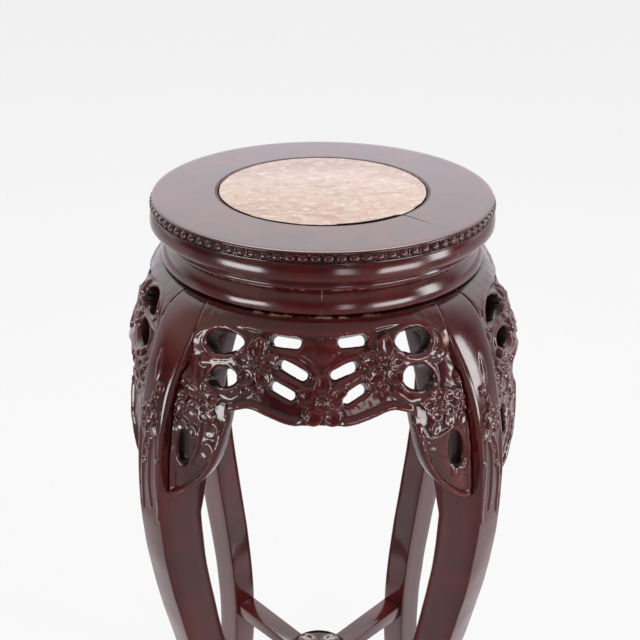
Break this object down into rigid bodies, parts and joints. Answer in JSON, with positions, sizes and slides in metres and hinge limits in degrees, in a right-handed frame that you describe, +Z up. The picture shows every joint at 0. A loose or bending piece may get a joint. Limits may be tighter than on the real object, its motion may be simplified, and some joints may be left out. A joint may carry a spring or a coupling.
{
  "type": "marble-top high table",
  "caption": "Tall round stand on carved cabriole legs with claw feet, pierced floral aprons, a moulded waist and a beaded top frame around an inset marble disc.",
  "frame": {"origin": "on the floor, under the centre of the round top", "axes": "+Z up from the floor to the top face, -Y towards the viewer of the picture, +X to the right"},
  "size_m": [0.4814, 0.4814, 0.914],
  "materials": {
    "marble": "polished rose-veined marble",
    "frame_lacquer": "glossy dark red lacquer over hardwood",
    "carved_lacquer": "glossy dark red lacquer, darker in the carving",
    "raw_wood": "unfinished wood, out of sight",
    "steel": "plain steel"
  },
  "bodies": {
    "root": {"marble_top": "marble", "marble_batten": "raw_wood", "top_frame_front": "frame_lacquer", "apron_front": "carved_lacquer", "glue_block_front": "raw_wood", "block_screw_front": "steel", "top_frame_right": "frame_lacquer", "apron_right": "carved_lacquer", "glue_block_right": "raw_wood", "block_screw_right": "steel", "top_frame_back": "frame_lacquer", "apron_back": "carved_lacquer", "glue_block_back": "raw_wood", "block_screw_back": "steel", "top_frame_left": "frame_lacquer", "apron_left": "carved_lacquer", "glue_block_left": "raw_wood", "block_screw_left": "steel", "waist_front_right": "frame_lacquer", "leg_front_right": "carved_lacquer", "waist_back_right": "frame_lacquer", "leg_back_right": "carved_lacquer", "waist_back_left": "frame_lacquer", "leg_back_left": "carved_lacquer", "waist_front_left": "frame_lacquer", "leg_front_left": "carved_lacquer", "stretcher_rail_lower": "carved_lacquer", "stretcher_rail_upper": "carved_lacquer", "stretcher_rosette": "carved_lacquer"}
  },
  "joints": []
}
